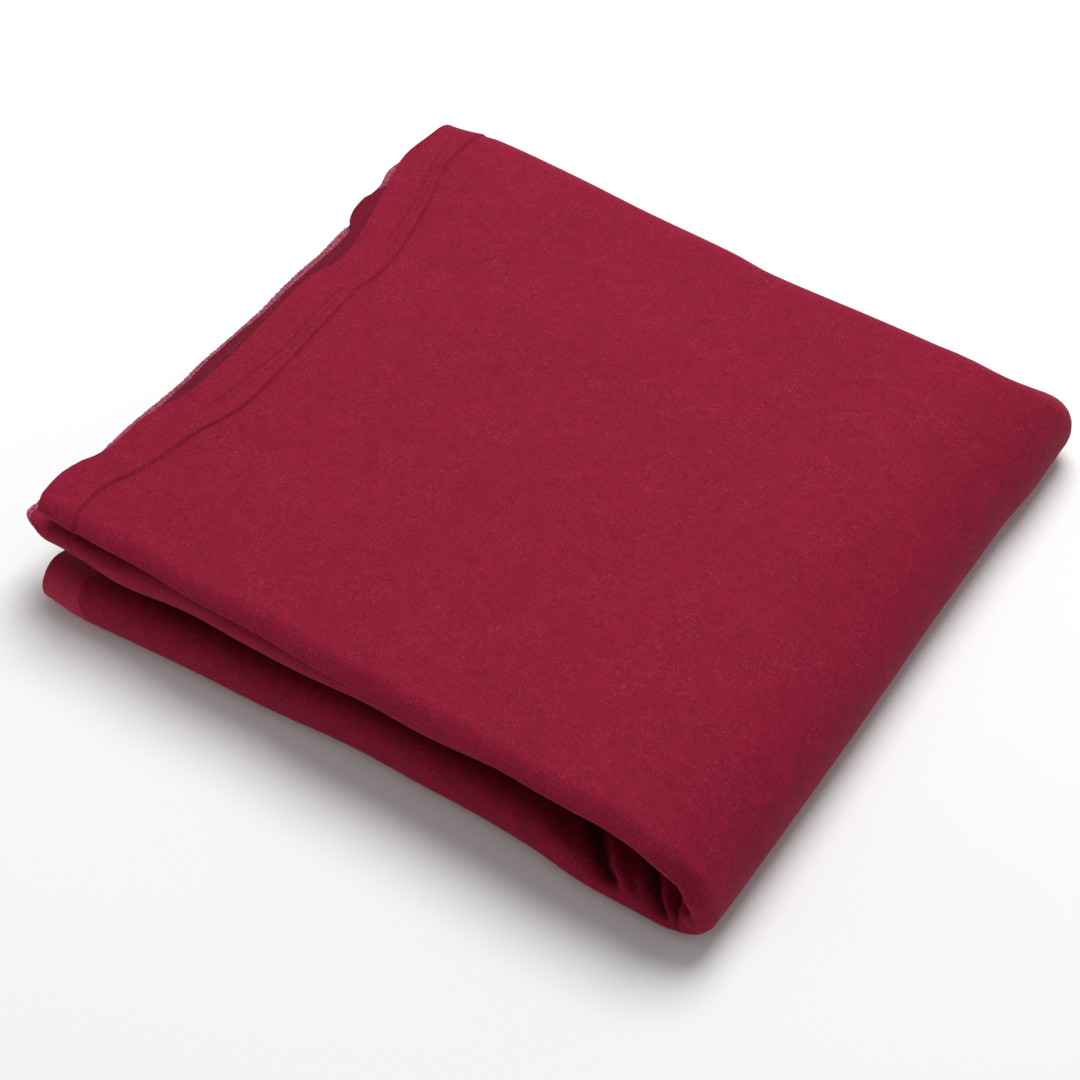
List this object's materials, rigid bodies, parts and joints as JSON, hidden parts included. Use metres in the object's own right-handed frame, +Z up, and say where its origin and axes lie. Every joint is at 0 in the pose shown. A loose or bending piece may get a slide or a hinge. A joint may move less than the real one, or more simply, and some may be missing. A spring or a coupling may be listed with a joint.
{
  "type": "folded turban cloth",
  "caption": "A long plain maroon voile turban cloth, folded flat into a soft bundle with open rolled leaves at one end and a rounded bend at the other",
  "frame": {"origin": "on the surface that the bundle lies on, under the middle of its bounding box", "axes": "+X along the bundle from its open end to its bent end, +Y from its front rolls to its back, +Z up"},
  "size_m": [0.3104, 0.305, 0.0499],
  "materials": {
    "voile": "matte"
  },
  "bodies": {
    "root": {"turban_cloth": "voile"}
  },
  "joints": []
}
